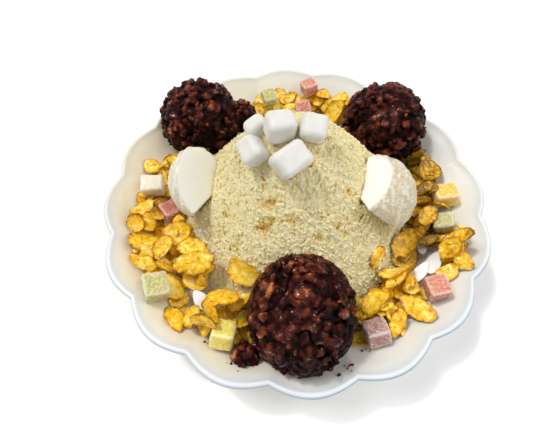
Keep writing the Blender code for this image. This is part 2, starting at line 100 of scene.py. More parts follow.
# Powder: sizes of its clods, grains and finest relief, the height of each kind, and how it is coloured:
# painted shade where the relief sinks, golden tone in the hollows
CLOD_SIZE = 2.6
GRAIN_SIZE = 1.25
FINE_SIZE = 0.75
SLUMP_HEIGHT = 0.6
LEDGE_HEIGHT = 0.7
CLOD_HEIGHT = 0.6
GRAIN_HEIGHT = 1.0
FINE_HEIGHT = 0.45
HOLLOW_DEPTH = 0.5
POWDER_SINK = 0.9
POWDER_TONE = -0.02
RECESS_PAINTED_SHADE = 0.42
HOLLOW_SHADE = 0.5

# Golden hollows in the powder: place and half widths across and down the slope
HOLLOWS = (
    ((-14.5, -32.5), (6.0, 3.0)), ((-2.7, -32.0), (4.5, 1.5)), ((-14.4, -26.1), (6.0, 2.0)),
    ((-34.6, -21.6), (2.4, 3.0)), ((-36.0, -17.2), (2.2, 2.2)), ((23.5, -18.6), (2.0, 2.0)),
    ((-29.6, -34.6), (3.0, 1.8)), ((20.0, -32.0), (3.5, 2.4)), ((9.7, -36.7), (2.4, 1.4)),
)

# Where white ice shows and where bits of bean fell: bearing and distance from the middle
ICE_SHOWS = ((202, 57), (212, 56), (168, 75), (220, 70), (330, 62))
FALLEN_BITS = ((292, 86), (290, 86), (284, 91), (251, 91), (253, 95), (243, 88), (281, 94))

# Bean paste: the balls that each scoop is pressed from, as centre, half lengths, beans and small bits
SCOOPS = {
    "bean_scoop_front": (
        ((1.5, -67.5, 34.5), (24.2, 26.5, 28.5), 250, 300),
        ((-23.0, -83.0, 26.5), (6.0, 5.5, 5.5), 10, 24),
    ),
    "bean_scoop_left": (
        ((-55.6, 51.0, 36.0), (23.2, 22.6, 22.8), 190, 240),
        ((-33.0, 56.5, 33.0), (10.5, 10.0, 10.0), 34, 50),
    ),
    "bean_scoop_right": (
        ((52.4, 46.6, 36.0), (24.2, 24.0, 24.0), 200, 250),
        ((52.0, 26.5, 32.0), (9.5, 9.0, 9.0), 28, 40),
    ),
}
SCOOP_VOXEL = 0.45
BEAN_LENGTH = (4.8, 9.5)
BIT_LENGTH = (2.2, 4.6)
BEAN_DEPTH = (-1.5, 0.7)
CORE_INSET = 1.5
CORE_TONE = 0.42
BEAN_TONE = (0.5, 0.17)
PALE_BEANS = 0.015
CRACK_DEPTH = 1.5
# The side of each scoop that is darkened with painted shade
PAINTED_SHADE_SIDE = (0.55, -0.45, -0.7)

# Cuts of the large rice cake: centre and radius of the ball, then each flat face's normal and distance
WEDGES = {
    "rice_cake_wedge_left": (
        (-43.2, -5.5, 49.5), 20.0,
        (((0.85, -0.10, 0.52), -3.6), ((0.73, -0.50, -0.46), 4.8)),
    ),
    "rice_cake_wedge_right": (
        (37.7, -11.9, 47.2), 20.2,
        (((-0.70, 0.13, 0.70), 9.8), ((-0.60, -0.42, -0.68), 3.2), ((-0.63, 0.26, -0.73), 0.3)),
    ),
}
WEDGE_DUST = {"rice_cake_wedge_left": 0.75, "rice_cake_wedge_right": 1.0}
WEDGE_VOXEL = 0.45
SMALL_CAKES = ("rice_cake_top", "rice_cake_front", "rice_cake_right", "rice_cake_left", "rice_cake_back")
CAKE_ROUNDING = 2.9
CAKE_MARGIN = 0.03
CAKE_INSET = 0.6

JELLIES = (
    "jelly_white", "jelly_red_left", "jelly_green_left", "jelly_yellow", "jelly_green_back", "jelly_red_back",
    "jelly_pink_back", "jelly_orange", "jelly_green_right", "jelly_pink_right", "jelly_purple",
)
JELLY_ROUNDING = 1.5
SUGAR_GRAINS = 150
SUGAR_SIZE = (0.2, 0.42)

# Almond slices, each with how far off the flakes underneath stay
ALMONDS = {
    "almond_right_back": 6.5, "almond_right_front": 7.5, "almond_right_inner": 4.0, "almond_left": 10.0,
}
ALMOND_THICKNESS = 1.0
LONE_FLAKES = ("flake_front_left", "flake_front_right")

# Flake heaps: first and last bearing, middle radius, reach inward and outward, number of flakes underneath
HEAPS = {
    "flakes_left": (155.0, 254.0, 74.0, 14.0, 13.0, 150),
    "flakes_right": (292.0, 386.0, 74.0, 12.0, 12.0, 130),
    "flakes_back": (60.0, 114.0, 78.5, 8.0, 7.0, 44),
}

# Flakes that stand out, from below to above: bearing, distance from the middle, length, width, spin
FLAKES = {
    "flakes_left": (
        (165, 85, 13, 9, 134), (168, 76, 16, 8, 93), (179, 81, 7, 4, 19), (178, 73, 12, 7, 32),
        (186, 82, 13, 9, 36), (192, 85, 10, 9, 158), (191, 74, 13, 8, 30), (200, 81, 18, 12, 4),
        (202.6, 65.5, 16, 11, 40), (209, 85, 13, 8, 162), (207, 74, 13, 8, 63), (213, 67, 11, 6, 89),
        (213, 61.5, 17, 9, 170), (220, 65.5, 22, 12, 4), (219.0, 78.5, 14, 10, 150), (229, 88, 16, 8, 123),
        (235, 83, 13, 8, 15), (240, 83, 13, 8, 156), (248, 71, 12, 7, 39), (244, 64, 15, 9, 59),
        (237.8, 67.6, 18, 14, 136),
    ),
    "flakes_right": (
        (13, 78, 17, 13, 42), (3, 73, 13, 9, 168), (355, 78, 15, 8, 173), (342, 78, 12, 4, 5),
        (349, 70, 18, 12, 51), (333, 90, 11, 8, 128), (345, 87, 13, 8, 84), (339, 84, 16, 8, 4),
        (335, 82, 13, 9, 27), (329, 86, 12, 8, 21), (333, 62, 17, 11, 50), (320, 76, 13, 8, 51),
        (313, 69, 14, 9, 54), (317, 73, 12, 6, 57), (312, 84, 18, 10, 143), (304, 85, 9, 4, 95),
        (301, 70, 16, 11, 30), (303, 83, 14, 7, 68), (297, 87, 10, 6, 3), (296, 83, 11, 7, 3),
        (318, 65.5, 18, 11, 22), (340.5, 73.5, 11, 5, 12),
    ),
    "flakes_back": (
        (97, 82, 13, 9, 31), (92, 74, 13, 9, 27), (76, 82, 12, 9, 29), (69, 86, 10, 6.5, 26),
        (69, 83, 11, 8, 26), (69, 74, 17, 11, 42), (106, 75, 11, 8, 33),
    ),
}
FLAKE_THICKNESS = 0.65
FLAKE_TRIES = ((1.0, 0.0, 1.0), (0.4, 0.0, 0.92), (0.0, 1.5, 0.85), (0.0, 3.0, 0.75), (0.0, 4.5, 0.65))
GROUND_STEP = 0.75
BED_LENGTH = (8, 15)
BED_CELLS = (14, 10)
FLAKE_CELLS = (28, 20)
BED_LEAN = 8
TOP_LEAN = 7
BLISTERS = 20
BLISTER_HEIGHT = 0.45
BLISTER_BROWN = 0.3
RIM_BROWN = 0.55
FLAKE_TONE = (0.17, 0.15)


# Colours: limits of noise for a close mottle, painted shade on the dish's outer edge, and stops of place and
# colour
NARROW = (0.35, 0.65)
PAINTED_EDGE_SHADE = (0.30, 0.38, 0.50)
POWDER_COLOURS = (
    (0.0, (0.99, 0.90, 0.56)), (0.3, (0.92, 0.78, 0.39)), (0.6, (0.82, 0.57, 0.16)),
    (1.0, (0.42, 0.22, 0.04)),
)
PASTE_COLOURS = (
    (0.0, (0.003, 0.001, 0.001)), (0.4, (0.026, 0.004, 0.003)), (0.7, (0.115, 0.020, 0.010)),
    (0.88, (0.22, 0.05, 0.02)), (1.0, (0.46, 0.19, 0.05)),
)
FLAKE_COLOURS = (
    (0.0, (1.00, 0.80, 0.20)), (0.12, (1.00, 0.66, 0.05)), (0.4, (0.95, 0.50, 0.015)),
    (0.7, (0.60, 0.31, 0.008)), (1.0, (0.25, 0.125, 0.004)),
)

# Rice cakes: two plain colours, then two dusty ones, which round the small cakes' foot also stand for painted
# contact shade
SMALL_CAKE_COLOURS = (((0.70, 0.69, 0.63), (0.775, 0.77, 0.735)), ((0.62, 0.42, 0.12), (0.82, 0.66, 0.34)))
LARGE_CAKE_COLOURS = (((0.97, 0.97, 0.92), (0.985, 0.985, 0.95)), ((0.50, 0.42, 0.26), (0.72, 0.64, 0.46)))

# Lights: name, direction, softness in degrees, strength and colour
LIGHTS = (
    ("window_light", (-0.50, 0.16, 0.85), 26, 1.1, (1.0, 0.985, 0.95)),
    ("ceiling_spot", (-0.42, 0.22, 0.88), 7, 0.95, (1.0, 0.99, 0.96)),
    ("room_fill", (0.62, -0.12, 0.77), 60, 1.5, (0.99, 0.99, 1.0)),
)
SKY_STRENGTH = 0.33

# Camera, solved from the rim of the dish: metres, degrees and pixels
CAMERA_PLACE = (-0.008428, -0.125766, 0.210213)
LOOKS_DOWN = 58.8
FOCAL_PIXELS = 404
PICTURE_WIDTH = 560
SENSOR_WIDTH = 36.0


# Places on the dish and the mound

def clamp(value, low=0.0, high=1.0):
    """A number kept between two limits."""
    return min(high, max(low, value))


def waves(place, size, shift=(0, 0, 0)):
    """Smooth noise of a size, from about -1 to 1."""
    return noise.noise(place / size + Vector(shift))


def polar(bearing, radius):
    """The place at a bearing and a distance from the middle."""
    angle = math.radians(bearing)
    return radius * math.cos(angle), radius * math.sin(angle)


def on_disc(place):
    """A place of a square grid drawn in to a round one."""
    across, along = place.x, place.y
    return across * math.sqrt(1 - along * along / 2), along * math.sqrt(1 - across * across / 2)


def lobe_swell(x, y):
    """How far the wall is drawn out into its lobe at a bearing: 0 at a notch."""
    bearing = math.degrees(math.atan2(y, x))
    return (LOBE_RADIUS - NOTCH_RADIUS) * abs(math.sin(math.radians((bearing - NOTCH_BEARING) * LOBES / 2)))


def dish_height(x, y):
    """Height of the inside of the dish."""
    stretch = 1 + lobe_swell(x, y) / (NOTCH_RADIUS - FLOOR_RADIUS)
    share = (math.hypot(x, y) - FLOOR_RADIUS) / (NOTCH_RADIUS - LIP_WIDTH - FLOOR_RADIUS) / stretch
    rise = DISH_HEIGHT - LIP_DROP - FLOOR_HEIGHT
    return FLOOR_HEIGHT + rise * max(share, 0.0) ** WALL_FLARE


def mound_height(x, y):
    """Height of the cone of ice, round at the top and a little uneven."""
    share = math.hypot(x, y) / CONE_RADIUS
    drop = (math.hypot(share, TOP_ROUNDING) - TOP_ROUNDING) / (math.hypot(1, TOP_ROUNDING) - TOP_ROUNDING)
    lump = noise.noise(Vector((x, y, 0)) / MOUND_LUMP_SPACING)
    return MOUND_BASE + MOUND_HEIGHT * (1 - drop) + MOUND_LUMP * lump


def cell_bump(place, size, seed):
    """A field of round grains of about one size: 1 on top of a grain, 0 between them."""
    nearest = noise.voronoi(place / size + Vector((seed, 0, 0)))[0][0]
    return math.sqrt(max(0.0, 1 - (nearest / 0.75) ** 2))


def powder_relief(place):
    """Height of the ledges, clods and crumbs that the powder lies in, and how bare and golden it is there."""
    slump = noise.noise(Vector((place.x / 11, place.y / 11, place.z / 6)))
    along = Vector((place.x / 4.0, place.y / 4.0, place.z / 1.3))
    ledge = noise.noise(along) + 0.5 * noise.noise(along * 2.3 + Vector((3, 0, 0)))
    ragged = waves(place, 2.2, (40, 0, 0))
    bare = 0.0
    for (x, y), (wide, deep) in HOLLOWS:
        apart = math.hypot((place.x - x) / wide, (place.y - y) / deep)
        bare = max(bare, clamp(1.3 - apart + 1.1 * ragged))
    bare = max(bare, clamp((noise.noise(along * 0.9 + Vector((60, 0, 0))) - 0.5) * 6))
    clods = cell_bump(place, CLOD_SIZE, 5) * max(0.0, waves(place, 7, (9, 0, 0)) + 0.5)
    height = SLUMP_HEIGHT * slump + LEDGE_HEIGHT * ledge + CLOD_HEIGHT * clods
    height += GRAIN_HEIGHT * cell_bump(place, GRAIN_SIZE, 17) + FINE_HEIGHT * waves(place, FINE_SIZE)
    return height - HOLLOW_DEPTH * bare - POWDER_SINK, bare


# Making meshes

def spread(solid, layer_name, values):
    """Write one number for each vertex into a layer of a solid."""
    layer = solid.verts.layers.float.new(layer_name)
    for vert, value in zip(solid.verts, values):
        vert[layer] = value


def turned(points, steps):
    """A closed solid turned about Z from a half section."""
    solid = bmesh.new()
    verts = [solid.verts.new((radius, 0, height)) for radius, height in points]
    edges = [solid.edges.new(pair) for pair in zip(verts, verts[1:])]
    bmesh.ops.spin(solid, geom=verts + edges, axis=(0, 0, 1), cent=(0, 0, 0), angle=math.tau,
                   steps=steps, use_merge=True)
    bmesh.ops.remove_doubles(solid, verts=solid.verts, dist=0.001)
    turn = Matrix.Rotation(math.radians(NOTCH_BEARING), 4, "Z")
    bmesh.ops.transform(solid, matrix=turn, verts=solid.verts)
    bmesh.ops.recalc_face_normals(solid, faces=solid.faces)
    return solid


def loose_mesh(solid):
    """A plain mesh of a solid, which is then freed."""
    mesh = bpy.data.meshes.new("loose")
    solid.to_mesh(mesh)
    solid.free()
    return mesh


def arrays_of(solid):
    """The points and triangles of a solid, which is then freed."""
    bmesh.ops.triangulate(solid, faces=solid.faces)
    mesh = loose_mesh(solid)
    points = np.array([vert.co for vert in mesh.vertices])
    triangles = np.array([tuple(face.vertices) for face in mesh.polygons])
    bpy.data.meshes.remove(mesh)
    return points, triangles


def joined(shapes, copies):
    """One solid of many copies of a few shapes: each copy is a shape's number, a matrix and a tone."""
    points = []
    triangles = []
    tones = []
    offset = 0
    for number, matrix, tone in copies:
        shape_points, shape_triangles = shapes[number]
        turn = np.array(matrix)
        points.append(shape_points @ turn[:3, :3].T + turn[:3, 3])
        triangles.append(shape_triangles + offset)
        tones.append(np.full(len(shape_points), tone))
        offset += len(shape_points)
    mesh = bpy.data.meshes.new("joined")
    mesh.from_pydata(np.concatenate(points), [], np.concatenate(triangles))
    solid = bmesh.new()
    solid.from_mesh(mesh)
    bpy.data.meshes.remove(mesh)
    spread(solid, "tone", np.concatenate(tones))
    return solid


def remeshed(solid, voxel):
    """One even skin round everything in a solid."""
    item = bpy.data.objects.new("loose", loose_mesh(solid))
    bpy.context.scene.collection.objects.link(item)
    step = item.modifiers.new("skin", "REMESH")
    step.mode = "VOXEL"
    step.voxel_size = voxel
    graph = bpy.context.evaluated_depsgraph_get()
    skin = bmesh.new()
    skin.from_mesh(item.evaluated_get(graph).to_mesh())
    mesh = item.data
    bpy.data.objects.remove(item)
    bpy.data.meshes.remove(mesh)
    return skin


def pebble(seed, fineness, roughness):
    """A small uneven lump, about 1 across."""
    solid = bmesh.new()
    bmesh.ops.create_icosphere(solid, subdivisions=fineness, radius=0.5)
    for vert in solid.verts:
        vert.co *= 1 + roughness * noise.noise(vert.co * 3.1 + Vector((seed, 0, 0)))
    return solid


def any_turn(draw):
    """A turn drawn at random, as a matrix."""
    return Euler([draw.uniform(0, math.tau) for _ in range(3)]).to_matrix().to_4x4()


def soft_block(size, rounding, cuts):
    """A box with round edges and many even faces, centred on the origin."""
    solid = bmesh.new()
    bmesh.ops.create_cube(solid, size=1.0)
    bmesh.ops.subdivide_edges(solid, edges=solid.edges[:], cuts=cuts, use_grid_fill=True)
    bmesh.ops.scale(solid, vec=size, verts=solid.verts)
    inner = [edge / 2 - rounding for edge in size]
    for vert in solid.verts:
        core = Vector([clamp(value, -limit, limit) for limit, value in zip(inner, vert.co)])
        vert.co = core + (vert.co - core).normalized() * rounding
    return solid


def swell(solid, amount, size, seed):
    """Move every point of a solid out or in by smooth noise."""
    solid.normal_update()
    shift = Vector((seed, seed * 0.7, 0))
    moves = [vert.normal * amount * waves(vert.co, size, shift) for vert in solid.verts]
    for vert, move in zip(solid.verts, moves):
        vert.co += move


def node_frame(name):
    """Where a box-like solid of the frame stands: a matrix to its middle and axes, and its edge lengths."""
    solid = bmesh.new()
    solid.from_mesh(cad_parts[name].data)
    bmesh.ops.remove_doubles(solid, verts=solid.verts, dist=1e-6)
    bmesh.ops.dissolve_limit(solid, angle_limit=math.radians(2), verts=solid.verts, edges=solid.edges)
    faces = sorted(solid.faces, key=lambda face: face.calc_area(), reverse=True)
    first = faces[0].normal.copy()
    second = next(face.normal.copy() for face in faces if abs(face.normal.dot(first)) < 0.1)
    second = (second - first * second.dot(first)).normalized()
    turn = Matrix((first, second, first.cross(second))).transposed()
    places = np.array([turn.transposed() @ vert.co / MM for vert in solid.verts])
    solid.free()
    low, high = places.min(0), places.max(0)
    middle = turn @ Vector((low + high) / 2)
    return Matrix.Translation(middle) @ turn.to_4x4(), Vector(high - low)


def leaf_frame(name):
    """Where a thin solid of the frame lies: a matrix to its middle and axes, and its three sizes."""
    places = np.array([vert.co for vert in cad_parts[name].data.vertices]) / MM
    middle = places.mean(0)
    _, _, axes = np.linalg.svd(places - middle)
    if axes[2][2] < 0:
        axes[2] *= -1
    axes[1] = np.cross(axes[2], axes[0])
    along = (places - middle) @ axes.T
    turn = Matrix(axes.T.tolist()).to_4x4()
    return Matrix.Translation(middle) @ turn, Vector(along.max(0) - along.min(0))


# Finishes

def finish(name, roughness, sockets):
    """A material with its even values on the shader's own sockets."""
    material = bpy.data.materials.new(name)
    material.use_nodes = True
    shader = material.node_tree.nodes["Principled BSDF"]
    shader.inputs["Roughness"].default_value = roughness
    for key, value in sockets.items():
        shader.inputs[key].default_value = value
    return material


def clear_inside(weight, scale, radius):
    """Values for light that goes a little way into a material."""
    return {"Subsurface Weight": weight, "Subsurface Scale": scale, "Subsurface Radius": radius}


def add(material, kind, inputs, **settings):
    """A node in a material, with its inputs set or linked."""
    made = material.node_tree.nodes.new("ShaderNode" + kind)
    for key, value in settings.items():
        setattr(made, key, value)
    for key, value in inputs.items():
        if isinstance(value, bpy.types.NodeSocket):
            material.node_tree.links.new(value, made.inputs[key])
        else:
            made.inputs[key].default_value = value
    return made


def grain(material, size, detail=3.0, roughness=0.6):
    """Noise of a size in millimetres, fixed to the piece."""
    place = add(material, "TexCoord", {}).outputs["Object"]
    inputs = {"Vector": place, "Scale": 1 / (size * MM), "Detail": detail, "Roughness": roughness}
    return add(material, "TexNoise", inputs).outputs["Fac"]


def number(material, name):
    """A number that the mesh carries for each point."""
    return add(material, "Attribute", {}, attribute_name=name).outputs["Fac"]


def ramp(material, factor, stops):
    """A colour from a number, by stops of place and colour."""
    made = add(material, "ValToRGB", {"Fac": factor})
    marks = made.color_ramp.elements
    while len(marks) < len(stops):
        marks.new(0.5)
    for mark, (place, colour) in zip(marks, stops):
        mark.position = place
        mark.color = (*colour, 1)
    return made.outputs["Color"]


def blend(material, factor, first, second, kind="MIX"):
    """Two colours mixed."""
    made = add(material, "Mix", {}, data_type="RGBA", blend_type=kind)
    for index, value in ((0, factor), (6, first), (7, second)):
        if isinstance(value, bpy.types.NodeSocket):
            material.node_tree.links.new(value, made.inputs[index])
        elif index:
            made.inputs[index].default_value = (*value, 1)
        else:
            made.inputs[index].default_value = value
    return made.outputs[2]


def scaled(material, value, low, high):
    """Noise, which stays mostly between 0.3 and 0.7, brought to a range."""
    limits = {"From Min": 0.3, "From Max": 0.7, "To Min": low, "To Max": high}
    return add(material, "MapRange", {"Value": value, **limits}).outputs["Result"]


def band(material, value, low, high):
    """How far a number has come from one limit to another, from 0 to 1."""
    return add(material, "MapRange", {"Value": value, "From Min": low, "From Max": high}).outputs["Result"]


def drive(material, socket, value):
    """Link a number or colour to a socket of the shader."""
    shader = material.node_tree.nodes["Principled BSDF"]
    material.node_tree.links.new(value, shader.inputs[socket])


def bump(material, height, depth):
    """Relief too fine for the mesh, its depth in millimetres."""
    made = add(material, "Bump", {"Height": height, "Strength": 1.0, "Distance": depth * MM})
    drive(material, "Normal", made.outputs["Normal"])


def combined(material, kind, first, second):
    """Two numbers added or multiplied."""
    return add(material, "Math", {0: first, 1: second}, operation=kind).outputs[0]


def mottled(material, size, dark, light, limits=(0.3, 0.7), detail=3.0):
    """A colour that wanders between two."""
    return ramp(material, grain(material, size, detail), ((limits[0], dark), (limits[1], light)))


def glaze():
    """White glaze, creamier to the left, with a bluish rim and painted shade along its outer edge."""
    material = finish("white_glaze", 0.3, {"Specular IOR Level": 0.3})
    colour = mottled(material, 45, (0.74, 0.735, 0.67), (0.78, 0.775, 0.715), NARROW, 1.0)
    rim = mottled(material, 20, (0.72, 0.76, 0.79), (0.77, 0.795, 0.81), NARROW, 1.0)
    cream = mottled(material, 6, (0.80, 0.69, 0.47), (0.84, 0.75, 0.55), NARROW)
    colour = blend(material, number(material, "warm"), colour, cream)
    inside = blend(material, number(material, "rim"), colour, rim)
    drive(material, "Base Color", blend(material, number(material, "edge"), inside, PAINTED_EDGE_SHADE))
    drive(material, "Roughness", scaled(material, grain(material, 12), 0.28, 0.4))
    bump(material, grain(material, 3, 3.0), 0.12)
    return material


def powder():
    """Dry roasted bean powder, pale on its crests, with painted shade turning it golden brown where its
    relief sinks, and golden in its hollows.
    """
    material = finish("roasted_bean_powder", 0.95, {"Specular IOR Level": 0.15})
    speckle = scaled(material, grain(material, 0.8, 4.0, 0.7), -0.46, 0.42)
    tone = combined(material, "ADD", number(material, "tone"), speckle)
    drive(material, "Base Color", ramp(material, tone, POWDER_COLOURS))
    bump(material, grain(material, 0.8, 4.0, 0.7), 0.85)
    return material


def ice():
    """Shaved ice, a little clear."""
    material = finish("ice_shavings", 0.3, clear_inside(0.3, 0.002, (1, 1, 1)))
    drive(material, "Base Color", mottled(material, 2, (0.90, 0.91, 0.88), (0.97, 0.97, 0.95)))
    return material


def bean_paste():
    """Moist paste: red brown on its beans, wet in patches, and near black where the mesh's tone carries
    painted shade in its cracks and deep places.
    """
    sockets = {"Coat Roughness": 0.045, "Coat IOR": 1.5, "Specular IOR Level": 0.06}
    material = finish("sweet_bean_paste", 0.3, sockets)
    mottle = scaled(material, grain(material, 1.8, 4.0), -0.14, 0.14)
    tone = combined(material, "ADD", number(material, "tone"), mottle)
    drive(material, "Base Color", ramp(material, tone, PASTE_COLOURS))
    drive(material, "Roughness", scaled(material, grain(material, 2.2), 0.15, 0.45))
    wet = band(material, grain(material, 2.4, 2.0), 0.55, 0.59)
    raised = band(material, number(material, "tone"), 0.3, 0.55)
    drive(material, "Coat Weight", combined(material, "MULTIPLY", wet, raised))
    bump(material, grain(material, 1.2, 3.0, 0.6), 0.6)
    return material


def rice_cake(name, pale, dusty_and_shaded):
    """Soft rice cake with powder dust on it where the mesh says so, which on the small cakes also stands for
    painted contact shade.
    """
    material = finish(name, 0.5, {"Sheen Weight": 0.1, **clear_inside(0.25, 0.002, (1.0, 0.8, 0.6))})
    plain = mottled(material, 7, *pale)
    dust_and_contact_shade = mottled(material, 0.8, *dusty_and_shaded, NARROW)
    cover = band(material, grain(material, 2.4, 5.0), 0.25, 0.45)
    share = combined(material, "MULTIPLY", number(material, "dust_and_contact_shade"), cover)
    drive(material, "Base Color", blend(material, share, plain, dust_and_contact_shade))
    drive(material, "Roughness", scaled(material, grain(material, 3), 0.42, 0.6))
    bump(material, grain(material, 1.1, 4.0), 0.2)
    return material


def corn_flake():
    """Toasted flake, glossy in spots and darker at its rim and blisters."""
    sockets = {"Specular IOR Level": 0.45, "Subsurface Weight": 0.12, "Subsurface Scale": 0.001}
    material = finish("toasted_corn_flake", 0.45, sockets)
    speckle = scaled(material, grain(material, 2.0, 4.0, 0.6), -0.38, 0.38)
    tone = combined(material, "ADD", number(material, "tone"), speckle)
    drive(material, "Base Color", ramp(material, tone, FLAKE_COLOURS))
    drive(material, "Roughness", scaled(material, grain(material, 1.5), 0.12, 0.36))
    bump(material, grain(material, 1.9, 3.0, 0.5), 0.6)
    return material


def almond_slice():
    """White almond with brown skin round its edge."""
    material = finish("almond_slice", 0.5, clear_inside(0.05, 0.001, (1, 1, 0.9)))
    flesh = mottled(material, 3, (0.92, 0.93, 0.90), (0.97, 0.98, 0.96))
    skin = mottled(material, 1, (0.36, 0.16, 0.06), (0.55, 0.28, 0.11))
    edge = band(material, number(material, "tone"), 0.96, 1.02)
    drive(material, "Base Color", blend(material, edge, flesh, skin))
    bump(material, grain(material, 1.2, 2.0), 0.05)
    return material


def jelly(name, deep, pale):
    """Sugared jelly: clear colour inside, whiter where the sugar sits and along its edges."""
    material = finish(name, 0.4, clear_inside(0.4, 0.003, (1, 0.9, 0.8)))
    frost = band(material, grain(material, 1.3, 4.0), 0.42, 0.66)
    colour = blend(material, frost, deep, pale)
    white = [0.35 * value + 0.6 for value in pale]
    drive(material, "Base Color", blend(material, number(material, "rim"), colour, white))
    drive(material, "Roughness", scaled(material, grain(material, 1.3, 4.0), 0.25, 0.6))
    bump(material, grain(material, 0.7, 3.0), 0.2)
    return material


JELLY_COLOURS = {
    "jelly_white": ((0.84, 0.75, 0.58), (0.90, 0.84, 0.72)),
    "jelly_red": ((0.50, 0.12, 0.07), (0.74, 0.36, 0.26)),
    "jelly_green": ((0.48, 0.43, 0.12), (0.72, 0.66, 0.36)),
    "jelly_yellow": ((0.92, 0.68, 0.06), (0.98, 0.88, 0.32)),
    "jelly_pink": ((0.62, 0.19, 0.11), (0.80, 0.44, 0.32)),
    "jelly_orange": ((0.90, 0.52, 0.06), (0.95, 0.74, 0.24)),
    "jelly_purple": ((0.40, 0.20, 0.17), (0.66, 0.46, 0.42)),
}


def sugar():
    """A grain of sugar."""
    material = finish("sugar_grain", 0.25, {"Subsurface Weight": 0.3, "Subsurface Scale": 0.0005, "IOR": 1.5})
    drive(material, "Base Color", mottled(material, 3, (0.80, 0.78, 0.74), (0.94, 0.93, 0.90)))
    return material


def piece(name, solid, material, nodes=(), sharp=60):
    """Turn a finished solid into a piece of the dessert, in metres."""
    bmesh.ops.scale(solid, vec=(MM, MM, MM), verts=solid.verts)
    mesh = bpy.data.meshes.new(name)
    solid.to_mesh(mesh)
    solid.free()
    mesh.shade_smooth()
    mesh.set_sharp_from_angle(angle=math.radians(sharp))
    mesh.materials.append(material)
    item = bpy.data.objects.new(name, mesh)
    bpy.context.scene.collection.objects.link(item)
    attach(item, "root")
    if nodes:
        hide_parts(*nodes)
    return item


# Dish

def dish_section():
    """Half section of the dish at a notch, from the middle of the floor round the rim to the foot."""
    inner_rim = NOTCH_RADIUS - LIP_WIDTH
    reach = inner_rim - FLOOR_RADIUS
    rise = DISH_HEIGHT - LIP_DROP - FLOOR_HEIGHT

    def wall_point(share, depth=0.0):
        slope = rise * WALL_FLARE * share ** (WALL_FLARE - 1) / reach
        scale = depth / math.hypot(slope, 1)
        return FLOOR_RADIUS + share * reach + slope * scale, FLOOR_HEIGHT + rise * share ** WALL_FLARE - scale

    points = [(0.0, FLOOR_HEIGHT), (15.0, FLOOR_HEIGHT), (30.0, FLOOR_HEIGHT)]
    points += [wall_point(step / WALL_STEPS) for step in range(WALL_STEPS)]
    lip_middle = NOTCH_RADIUS - LIP_WIDTH / 2
    lip_base = DISH_HEIGHT - LIP_RISE
    for step in range(LIP_STEPS + 1):
        angle = math.pi * (LIP_TURN - step * LIP_TURN / LIP_STEPS)
        points.append((lip_middle + LIP_WIDTH / 2 * math.cos(angle), lip_base + LIP_RISE * math.sin(angle)))
    points += [wall_point(1 - step / WALL_STEPS, WALL) for step in range(1, WALL_STEPS // 2 + 6)]
    points += [(FOOT_RADIUS + 1.2, FOOT_RECESS - 0.3), (FOOT_RADIUS + 0.6, 0.5), (FOOT_RADIUS, 0.12)]
    foot_inside = FOOT_RADIUS - FOOT_WIDTH
    points += [(FOOT_RADIUS - 0.6, 0.0), (foot_inside + 0.6, 0.0), (foot_inside, 0.15)]
    points += [(foot_inside - 1, FOOT_RECESS), (20.0, FOOT_RECESS), (0.0, FOOT_RECESS)]
    return points


def make_dish():
    """The turned dish, its wall drawn out into lobes."""
    solid = turned(dish_section(), LOBES * SIDES_PER_LOBE)
    rims = []
    edges = []
    warms = []
    for vert in solid.verts:
        radius = vert.co.xy.length
        share = (radius - FLOOR_RADIUS) / (NOTCH_RADIUS - FLOOR_RADIUS)
        if share > 0:
            vert.co.xy *= 1 + share * (lobe_swell(vert.co.x, vert.co.y) - LOBE_EASE) / radius
        rims.append(clamp((share - 0.88) / 0.06) * clamp(0.6 - vert.co.y / 80, 0.3))
        side = -0.8 * vert.co.x / NOTCH_RADIUS
        warms.append(clamp(0.25 + 0.85 * side))
        # The edge layer is painted shade on the outer edge of the lip, stronger towards the lower right
        strength = 0.6 + 0.35 * waves(vert.co, 30) + 0.003 * (vert.co.x - vert.co.y)
        edges.append(clamp((share - 0.984) / 0.012) * strength)
    spread(solid, "rim", rims)
    spread(solid, "edge", edges)
    spread(solid, "warm", warms)
    return solid


# Ice and powder

def wedge_gap(place):
    """How near a place is to the flat faces of a large rice cake: 1 right beside them, 0 away from them."""
    nearest = 0.0
    for centre, radius, flats in WEDGES.values():
        across = place - Vector(centre)
        outside = max(across.dot(Vector(normal).normalized()) - distance for normal, distance in flats)
        if -1 < outside < GAP_WIDTH and across.length < radius - 0.5:
            nearest = max(nearest, 1 - max(outside, 0.0) / GAP_WIDTH)
    return nearest


def mound_point(x, y):
    """A place on the powdered surface, its relief and how bare it is."""
    place = Vector((x, y, mound_height(x, y)))
    edge = clamp((MOUND_RADIUS - math.hypot(x, y)) / 5)
    relief, bare = powder_relief(place)
    gap = wedge_gap(place)
    # The groove lowers the relief, so the painted recess shade darkens it: a painted shadow beside the rice
    # cakes' flat faces
    relief -= GAP_DEPTH * gap
    place.z = max(place.z + relief * edge, dish_height(x, y) + MOUND_LIFT)
    return place, relief, bare


